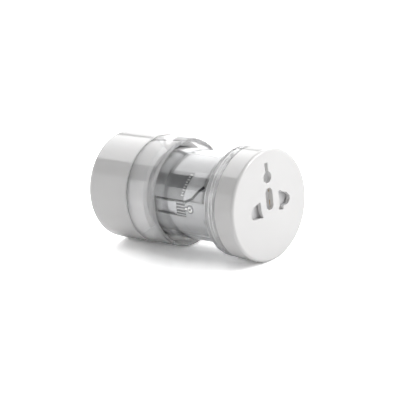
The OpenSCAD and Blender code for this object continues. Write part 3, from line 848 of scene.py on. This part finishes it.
@dataclass
class Barrel:
    """The waist: the clear barrel and what shows through it.

    Attributes:
        shop: makes the pieces.
        outer: outer radius of the clear barrel, in metres.
        wall: wall of the clear barrel.
        foot_len: length of the foot that the clear ring holds.
        liner_wall: wall of the inner liner.
        slot_width: width of the barrel's slider slots.
        slot_gap: room beyond each end of a slider's travel.
        rise: how far the pads stand on the liner.
        sunk: how far the pads reach into the liner.
        strip_low: lower edge of the strip's blade, along the arc.
        strip_high: its upper edge.
        root_low: lower edge of the strip's root cover.
        root_high: its upper edge.
    """

    shop: Workshop
    outer: float = 23.7 * MM
    wall: float = 2.0 * MM
    foot_len: float = 2.2 * MM
    liner_wall: float = 1.5 * MM
    slot_width: float = 4.2 * MM
    slot_gap: float = 0.4 * MM
    rise: float = 0.2 * MM
    sunk: float = 0.1 * MM
    strip_low: float = -2.9 * MM
    strip_high: float = 3.0 * MM
    root_low: float = -4.55 * MM
    root_high: float = 4.15 * MM

    def build_barrel(self) -> None:
        """Makes the clear barrel with its foot and its slider slots."""
        reach = self.shop.axis.span("clear_barrel")
        foot_end = reach.start + self.foot_len
        inner = self.outer - self.wall
        outline = shell_outline([
            (inner, reach.start, 0.2 * MM), (reach.radius, reach.start, 0.2 * MM),
            (reach.radius, foot_end, 0.2 * MM), (self.outer, foot_end, 0.3 * MM),
            (self.outer, reach.end, 0.4 * MM), (inner, reach.end, 0.3 * MM),
        ], 5)
        barrel = self.shop.finish_mesh("clear_waist_barrel", self.shop.spin(outline), Finish.CLEAR)
        self.shop.cut(barrel, self.slider_slots(self.outer, self.slot_width), 0.15 * MM)
        install(barrel, "clear_barrel", "head")

    def slider_slots(self, radius: float, width: float) -> list[bmesh.types.BMesh]:
        """Makes the cutters of the three slider slots.

        Args:
            radius: the wall's outer radius.
            width: the slots' width.

        Returns:
            One cutter per slot.
        """
        tools = []
        for node in BUTTONS:
            joint = node.replace("button", "slide")
            carriage = self.shop.axis.span(node.replace("button", "carriage"))
            travel = next(j["range_m"][1] for j in frame["joints"] if j["name"] == joint)
            start, end = carriage.start - self.slot_gap, carriage.end + travel + self.slot_gap
            inner, outer = radius - 6 * MM, radius + 3 * MM
            tools.append(self.shop.radial_block(self.shop.axis.angle(node), inner, outer, width, start, end))
        return tools

    def build_liner(self) -> None:
        """Makes the inner liner with its windows."""
        reach = self.shop.axis.span("inner_liner")
        inner = reach.radius - self.liner_wall
        outline = shell_outline([
            (inner, reach.start, 0.2 * MM), (reach.radius, reach.start, 0.3 * MM),
            (reach.radius, reach.end, 0.3 * MM), (inner, reach.end, 0.2 * MM),
        ], 4)
        liner = self.shop.finish_mesh("inner_barrel_liner", self.shop.spin(outline), Finish.LINER)
        strip = self.shop.axis.span("line_bus")
        tools = self.slider_slots(reach.radius, self.slot_width + 0.4 * MM)
        width, inner_cut, outer_cut, end = 8.6 * MM, 12 * MM, 24 * MM, strip.end + 0.6 * MM
        tools.append(self.shop.radial_block(math.pi, inner_cut, outer_cut, width, strip.start, end))
        self.shop.cut(liner, tools, 0.12 * MM)
        install(liner, "inner_liner", "head")

    def turned(self, points: Iterable[Point], radius: float) -> list[Point]:
        """Turns (degrees above the axis, millimetres along it) into arc lengths and stations in metres."""
        return [(math.radians(angle) * radius, station * MM) for angle, station in points]

    def add(
        self, name: str, outlines: Sequence[Sequence[Point]], r0: float, r1: float,
        finish: Finish, slot: str, edge: float = 0.0,
    ) -> None:
        """Makes a thin piece that lies round the barrel's -X side and rides on the head.

        Args:
            name: the piece's name.
            outlines: its flat outlines.
            r0: its inner radius.
            r1: its outer radius.
            finish: its finish.
            slot: the record's material slot; not used.
            edge: width of its broken outer edges.
        """
        piece = self.shop.finish_mesh(name, self.shop.wrap(outlines, r0, r1, edge), finish)
        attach(piece, "head")
        LOG.info("%s rides on head", name)

    def build_pads(self) -> None:
        """Makes the raised pad, a black band along its curved edge that paints the dark refraction line there,
        the dark panel beside it and the tick scale.
        """
        liner = self.shop.axis.span("inner_liner").radius
        base, top = liner - self.sunk, liner + self.rise
        curve = smooth_line([
            (10.5, 38.9), (13.5, 36.6), (16.5, 34.0), (21.0, 32.2), (26.0, 30.6), (31.0, 28.6), (34.5, 27.0)])
        pad = self.turned(curve + [(52.0, 27.0), (52.0, 35.4), (17.0, 39.0)], top)
        self.add("liner_raised_pad", [pad], base, top, Finish.PAD, "inner_white", 0.08 * MM)
        # A black band along the pad's curved edge: a painted dark line standing in for the dark refraction that
        # the clear barrel shows there.
        dark_line_top = liner + 0.12 * MM
        dark_line_band = band(self.turned([(angle - 1.9, station - 0.5) for angle, station in curve], dark_line_top), 1.3 * MM)
        self.add("liner_painted_dark_line", [dark_line_band], liner - 0.3 * MM, dark_line_top, Finish.BLACK, "inner_white", 0.05 * MM)
        panel = self.turned([(12.0, 39.8), (12.0, 53.0), (50.0, 53.0), (50.0, 36.0)], top)
        self.add(
            "liner_dark_panel", [panel], base, liner + 0.14 * MM, Finish.PANEL, "inner_white", 0.06 * MM)
        ticks = [self.tick(index, top) for index in range(9)]
        self.add("tick_scale", ticks, liner + 0.15 * MM, top + 0.04 * MM, Finish.WHITE, "white_shell")
        hair = band(self.turned([(-24.0, 41.2), (-32.0, 40.6), (-42.0, 39.3)], top), 0.28 * MM)
        self.add("liner_lower_seam", [hair], base, liner + 0.1 * MM, Finish.PANEL, "inner_white")

    def tick(self, index: int, radius: float) -> list[Point]:
        """Outline of one tick of the scale.

        Args:
            index: its place, counted upwards. Every second tick is short.
            radius: the radius that it lies on.

        Returns:
            The outline.
        """
        width, long, short = 1.7, 1.9, 1.2
        angle, length = 17.0 + 3.6 * index, long if index % 2 == 0 else short
        end = 41.6 - 0.1 * (angle - 12.0)
        corners = [(angle, end - length), (angle, end), (angle + width, end), (angle + width, end - length)]
        return self.turned(corners, radius)

    def build_strip(self) -> None:
        """Makes the tinned fork strip in the liner's window: blade, shoulders, tines, comb and root."""
        reach = self.shop.axis.span("line_bus")
        low, high, end = self.strip_low, self.strip_high, reach.end
        corner = 0.5 * MM
        neck, spread, comb = end - 12.6 * MM, end - 14.4 * MM, end - 22.0 * MM
        blade = [
            (high - corner, end), (high, end - corner), (high, neck), (high + 0.1 * MM, spread),
            (-4.0 * MM, spread), (low, neck), (low, end - corner), (low + corner, end)]
        tine_pitch, tine_width = 1.6 * MM, 0.72 * MM
        tine_start, tine_end = comb + 1.0 * MM, spread + 0.3 * MM
        tines = []
        for index in range(5):
            top = high + 0.05 * MM - index * tine_pitch
            bottom = top - tine_width
            tines.append([(top, tine_start), (top, tine_end), (bottom, tine_end), (bottom, tine_start)])
        r0, r1 = reach.radius - 1.0 * MM, reach.radius
        strip = self.shop.wrap([blade] + tines, r0, r1, 0.12 * MM)
        piece = self.shop.finish_mesh("tinned_fork_strip", strip, Finish.STRIP)
        install(piece, "line_bus", "head")
        root_end = comb + 1.3 * MM
        root, shadow_sheet = self.root_area(root_end, reach.start), self.root_area(root_end, end + 0.4 * MM)
        self.add("strip_root_cover", [root], r0, r1 + 0.15 * MM, Finish.LINER, "inner_white", 0.06 * MM)
        # A black sheet under the strip: painted shadow in the gaps between the tines and round the blade.
        self.add("strip_painted_shadow_sheet", [shadow_sheet], r0 - 0.25 * MM, r0 - 0.05 * MM, Finish.BLACK, "sleeve_black")
        self.build_root_marks(comb, reach.start + 9.5 * MM, r1)

    def root_area(self, first: float, last: float) -> list[Point]:
        """Returns the outline of the strip's window between two stations."""
        return [(self.root_high, first), (self.root_high, last), (self.root_low, last), (self.root_low, first)]

    def build_root_marks(self, comb: float, rivet: float, strip_r: float) -> None:
        """Makes the eyelet on the strip's rivet and the square clip beside it, each on a dark ground, with a
        black disc in the eyelet's hole that paints the shade inside it.

        Args:
            comb: station of the comb's front edge.
            rivet: station of the rivet.
            strip_r: the strip's outer radius.
        """
        middle, skin = (0.0, rivet), 0.03 * MM
        ground, head = strip_r + 0.15 * MM, strip_r + 0.3 * MM
        neck, neck_end = 1.2 * MM, comb + 1.25 * MM
        well = round_corner(middle, 2.3 * MM, 122, 418, 30) + [(neck, neck_end), (-neck, neck_end)]
        self.add("strip_root_well", [well], ground - 0.2 * MM, ground + skin, Finish.BLACK, "sleeve_black")
        # A black disc under the eyelet ring: painted shade inside the eyelet's hole.
        bore, hole_shade_top = round_corner(middle, 1.5 * MM, 0, 350, 30), head + 0.04 * MM
        self.add("eyelet_painted_hole_shade", [bore], head + 0.005 * MM, hole_shade_top, Finish.BLACK, "sleeve_black")
        ring = band(round_corner(middle, 1.1 * MM, 0, 344, 24), 0.42 * MM)
        self.add("rivet_eyelet", [ring], hole_shade_top, head + 0.12 * MM, Finish.PIN, "bus_steel", 0.03 * MM)
        side, station = 0.5 * MM, comb + 0.65 * MM
        clip = [(x * side, station + y * side) for x, y in ((-1, -1), (1, -1), (1, 1), (-1, 1))]
        self.add("strip_end_clip", [clip], ground + skin, ground + 0.13 * MM, Finish.PIN, "bus_steel", 0.04 * MM)

    def build(self) -> None:
        """Makes the whole barrel."""
        self.build_barrel()
        self.build_liner()
        self.build_pads()
        self.build_strip()


# ---- sleeve ----


@dataclass
class Sleeve:
    """The telescoping end: the clear collar, the white bush in it and the white cup.

    Attributes:
        shop: makes the pieces.
        cup_round: rounding of the cup's rear edge, in metres.
        end_wall: thickness of the cup's end.
        bore: inner radius of the collar and the cup.
        lip: inner radius of the bush's guide lip.
        lip_len: length of that lip.
        notch_width: width of the notches that pass the sliders.
        pin_gap: gap round a pin in its window.
    """

    shop: Workshop
    cup_round: float = 3.5 * MM
    end_wall: float = 2.6 * MM
    bore: float = 26.7 * MM
    lip: float = 24.0 * MM
    lip_len: float = 2.8 * MM
    notch_width: float = 7.2 * MM
    pin_gap: float = 0.3 * MM

    def build_collar(self) -> None:
        """Makes the clear collar with its spigot."""
        reach = self.shop.axis.span("clear_collar")
        spigot_len, spigot_wall = 3.0 * MM, 1.2 * MM
        rim, spigot = reach.end - spigot_len - 0.05 * MM, self.bore + spigot_wall
        outline = shell_outline([
            (self.bore, reach.start, 0.5 * MM), (reach.radius, reach.start, 0.8 * MM),
            (reach.radius, rim, 0.3 * MM), (spigot, rim, 0.2 * MM),
            (spigot, reach.end, 0.2 * MM), (self.bore, reach.end, 0.2 * MM),
        ], 6)
        collar = self.shop.finish_mesh("clear_sleeve_collar", self.shop.spin(outline), Finish.SATIN)
        install(collar, "clear_collar", "sleeve")

    def build_bush(self) -> None:
        """Makes the white guide bush with its lip and the slider notches."""
        reach = self.shop.axis.span("guide_bush")
        lip_end = reach.start + self.lip_len
        inner = reach.radius - 0.7 * MM
        outline = shell_outline([
            (self.lip, reach.start, 0.3 * MM), (reach.radius, reach.start, 0.2 * MM),
            (reach.radius, reach.end, 0.1 * MM), (inner, reach.end, 0.1 * MM),
            (inner, lip_end, 0.2 * MM), (self.lip, lip_end, 0.3 * MM),
        ], 4)
        bush = self.shop.finish_mesh("white_guide_bush", self.shop.spin(outline), Finish.WHITE)
        tools = [
            self.shop.radial_block(
                self.shop.axis.angle(node), self.lip - 3 * MM, inner, self.notch_width,
                reach.start - OVERCUT, lip_end + OVERCUT)
            for node in BUTTONS]
        self.shop.cut(bush, tools, 0.1 * MM)
        install(bush, "guide_bush", "sleeve")

    def build_cup(self) -> None:
        """Makes the white cup with the pin windows in its end."""
        reach = self.shop.axis.span("rear_cup")
        rebate, step, floor = 28.0 * MM, reach.start + 3.1 * MM, reach.end - self.end_wall
        outline = shell_outline([
            (0.0, reach.end, 0.0), (reach.radius, reach.end, self.cup_round),
            (reach.radius, reach.start, 0.35 * MM), (rebate, reach.start, 0.2 * MM), (rebate, step, 0.1 * MM),
            (self.bore, step, 0.2 * MM), (self.bore, floor, 1.0 * MM), (0.0, floor, 0.0),
        ], 12)
        cup = self.shop.finish_mesh("white_rear_cup", self.shop.spin(outline, closed=False), Finish.WHITE)
        tools = [self.shop.prism(shape, floor - OVERCUT, reach.end + OVERCUT) for shape in self.windows()]
        self.shop.cut(cup, tools, 0.25 * MM)
        install(cup, "rear_cup", "sleeve")

    def windows(self) -> list[list[Point]]:
        """Outlines of the windows that the pins come out of, each a little larger than its pin."""
        gap, height = self.pin_gap, self.shop.axis.height
        flat_flange, round_flange, corner = 0.5 * MM, 0.6 * MM, 0.06 * MM
        shapes = []
        for node in ("uk_line_pin", "uk_neutral_pin", "uk_earth_pin"):
            low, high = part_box(node)
            x0, x1 = low[0] + flat_flange - gap, high[0] - flat_flange + gap
            z0, z1 = low[2] + flat_flange - gap - height, high[2] - flat_flange + gap - height
            corners = ((x0, z0, corner), (x1, z0, corner), (x1, z1, corner), (x0, z1, corner))
            shapes.append(shell_outline(corners, 3))
        for node in ("eu_line_pin", "eu_neutral_pin"):
            low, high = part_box(node)
            radius = (high[2] - low[2]) / 2 - round_flange + gap
            shapes.append(round_corner(self.shop.axis.middle(node), radius, 0, 350, 35))
        for node, side in (("line_blade", -1), ("neutral_blade", 1)):
            low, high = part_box(node)
            radius, half = (high[2] - low[2]) / 2 + 2 * gap, (high[0] - low[0]) / 2 + gap
            shapes.append(self.bow_tie(self.shop.axis.middle(node), radius, half, side))
        return shapes

    @staticmethod
    def bow_tie(center: Point, radius: float, half: float, side: int) -> list[Point]:
        """Outline of the room that a blade needs over its swivel.

        Args:
            center: the blade's centre.
            radius: reach of the blade's corners.
            half: half the blade's thickness and its gap.
            side: -1 for the line blade and 1 for the neutral blade.

        Returns:
            The outline.
        """
        spread = math.degrees(math.asin(half / radius))
        turn = 30.0
        first, last = (90 - spread, 90 + turn + spread) if side < 0 else (90 - turn - spread, 90 + spread)
        top = round_corner(center, radius, first, last, 10)
        bottom = round_corner(center, radius, first + 180, last + 180, 10)
        middle = math.radians((first + last) / 2 + 90)
        waist = half * 1.15
        left = (center[0] + waist * math.cos(middle), center[1] + waist * math.sin(middle))
        right = (center[0] - waist * math.cos(middle), center[1] - waist * math.sin(middle))
        return top + [left] + bottom + [right]

    def build(self) -> None:
        """Makes the whole sleeve."""
        self.build_collar()
        self.build_bush()
        self.build_cup()


# ---- carried-over nodes ----

NODE_FINISHES = {
    Finish.SHUTTER: ("shutter",),
    Finish.GREY: ("contact_carrier", "pin_guide_plate"),
    Finish.BRASS: ("line_contact", "neutral_contact", "earth_contact", "earth_bus"),
    Finish.STEEL: ("fuse_caps", "head_screws", "shutter_springs"),
    Finish.GLASS: ("fuse_tube",),
    Finish.STRIP: ("neutral_bus", "bus_rivets"),
    Finish.LINER: ("stop_ring",),
    Finish.DARK: ("uk_carriage", "eu_carriage", "us_carriage"),
    Finish.SLIDER: ("uk_button", "eu_button", "us_button"),
    Finish.PIN: (
        "uk_line_pin", "uk_neutral_pin", "uk_earth_pin", "eu_line_pin", "eu_neutral_pin",
        "line_blade", "neutral_blade",
    ),
    Finish.BLACK: ("uk_pin_sleeves", "eu_pin_sleeves", "line_rotor", "neutral_rotor"),
}


def dress_frame(paint: Paintbox) -> None:
    """Gives every carried-over CAD node its finish."""
    for finish, names in NODE_FINISHES.items():
        for name in names:
            paint.dress(frame["nodes"][name], finish)
            LOG.info("%s dressed as %s", name, finish.value.name)


# ---- studio ----


@dataclass
class Studio:
    """The floor, the lights and the camera.

    Attributes:
        floor_reach: how far the floor goes before it turns up, in metres.
        floor_sweep: radius of the turn.
        wall_height: height of the turned-up edge.
        paper: how much light the paper gives back.
        paper_gain: the same for the camera and through clear pieces, so that the paper reads as white.
        room: grey of the dim room.
        azimuth: the camera's place round the adapter, in degrees.
        elevation: its height above the floor, in degrees.
        roll: its roll, in degrees, as the adapter lies rolled.
        distance: its distance from the target, in metres.
        target: the point that it faces.
        lens: its focal length, in millimetres.
    """

    floor_reach: float = 1.5
    floor_sweep: float = 0.3
    wall_height: float = 0.76
    paper: float = 0.9
    paper_gain: float = 2.3
    room: float = 0.12
    azimuth: float = -46.56
    elevation: float = 17.31
    roll: float = -6.51
    distance: float = 0.8871
    target: Triple = (0.0, -0.00298, 0.02608)
    lens: float = 151.6

    def build_floor(self) -> None:
        """Makes the pale floor with its turned-up edge."""
        mesh = bmesh.new()
        line = [(0.0, 0.0), (self.floor_reach, 0.0)]
        line += round_corner((self.floor_reach, self.floor_sweep), self.floor_sweep, -90, 0, 12)[1:]
        line += [(self.floor_reach + self.floor_sweep, self.wall_height)]
        verts = [mesh.verts.new((x, 0.0, z)) for x, z in line]
        edges = [mesh.edges.new(pair) for pair in zip(verts, verts[1:])]
        bmesh.ops.spin(
            mesh, geom=verts + edges, cent=(0, 0, 0), axis=(0, 0, 1), angle=math.tau, steps=96, use_merge=True)
        bmesh.ops.remove_doubles(mesh, verts=mesh.verts, dist=1e-6)
        for face in mesh.faces:
            face.smooth = True
        floor = mesh_object("studio_floor", mesh)
        floor.data.materials.append(self.paper_material())

    def paper_material(self) -> bpy.types.Material:
        """Makes the paper, which looks brighter straight to the camera and through clear pieces."""
        paper = bpy.data.materials.new("studio paper")
        paper.use_nodes = True
        nodes, links = paper.node_tree.nodes, paper.node_tree.links
        nodes.remove(nodes["Principled BSDF"])
        path = nodes.new("ShaderNodeLightPath")
        seen = nodes.new("ShaderNodeMath")
        seen.operation = "MAXIMUM"
        links.new(path.outputs["Is Camera Ray"], seen.inputs[0])
        links.new(path.outputs["Is Transmission Ray"], seen.inputs[1])
        tone = nodes.new("ShaderNodeMix")
        tone.data_type = "RGBA"
        tone.inputs["A"].default_value = (self.paper, self.paper, self.paper, 1.0)
        tone.inputs["B"].default_value = (self.paper_gain, self.paper_gain, self.paper_gain, 1.0)
        links.new(seen.outputs["Value"], tone.inputs["Factor"])
        skin = nodes.new("ShaderNodeBsdfDiffuse")
        links.new(tone.outputs["Result"], skin.inputs["Color"])
        links.new(skin.outputs["BSDF"], nodes["Material Output"].inputs["Surface"])
        return paper

    def add_softbox(
        self, name: str, place: Triple, size: Point, power: float, aim: Triple = (0.0, 0.0, 0.03),
    ) -> None:
        """Adds a soft light panel.

        Args:
            name: the light's name.
            place: its centre, in metres.
            size: its width and height, in metres.
            power: its power, in watts.
            aim: the point that it faces.
        """
        data = bpy.data.lights.new(name, "AREA")
        data.shape = "RECTANGLE"
        data.size, data.size_y = size
        data.energy = power
        light = link_object(name, data)
        light.location = place
        light.rotation_euler = (Vector(aim) - Vector(place)).to_track_quat("-Z", "Y").to_euler()

    def build_lights(self) -> None:
        """Makes the overhead panel, the two small panels and the dim room."""
        self.add_softbox("key_panel", (0.6, 0.85, 1.15), (2.2, 1.6), 22.0, (0.6, 0.85, 0.0))
        self.add_softbox("side_panel", (1.4, -0.35, 1.0), (0.7, 0.7), 12.0)
        self.add_softbox("front_panel", (0.75, -1.2, 0.7), (0.8, 0.8), 12.0)
        world = bpy.data.worlds.new("studio room")
        world.use_nodes = True
        backdrop = world.node_tree.nodes["Background"]
        backdrop.inputs["Color"].default_value = (self.room, self.room, self.room, 1.0)
        backdrop.inputs["Strength"].default_value = 1.0
        bpy.context.scene.world = world
        bpy.context.scene.view_settings.view_transform = "Standard"

    def build_camera(self) -> None:
        """Makes the camera at its viewing angle, rolled a little, as the adapter lies rolled."""
        azimuth, elevation, roll = (math.radians(turn) for turn in (self.azimuth, self.elevation, self.roll))
        level = math.cos(elevation)
        back = Vector((math.sin(azimuth) * level, -math.cos(azimuth) * level, math.sin(elevation)))
        right = Vector((math.cos(azimuth), math.sin(azimuth), 0.0))
        upward = back.cross(right)
        across = right * math.cos(roll) + upward * math.sin(roll)
        above = upward * math.cos(roll) - right * math.sin(roll)
        data = bpy.data.cameras.new("camera")
        data.sensor_width = 36.0
        data.lens = self.lens
        data.clip_start = 0.01
        camera = link_object("camera", data)
        home = Matrix.Translation(Vector(self.target) + back * self.distance)
        camera.matrix_world = home @ Matrix((across, above, back)).transposed().to_4x4()
        bpy.context.scene.camera = camera

    def build(self) -> None:
        """Makes the whole studio."""
        self.build_floor()
        self.build_lights()
        self.build_camera()


def main() -> None:
    """Builds the adapter and its studio."""
    logging.basicConfig(level=logging.INFO, format="%(name)s: %(message)s")
    Studio().build()
    axis = Axis()
    paint = Paintbox()
    shop = Workshop(axis, paint)
    for part in (Head(shop), Barrel(shop), Sleeve(shop)):
        part.build()
    dress_frame(paint)


if __name__ == "__main__":
    main()
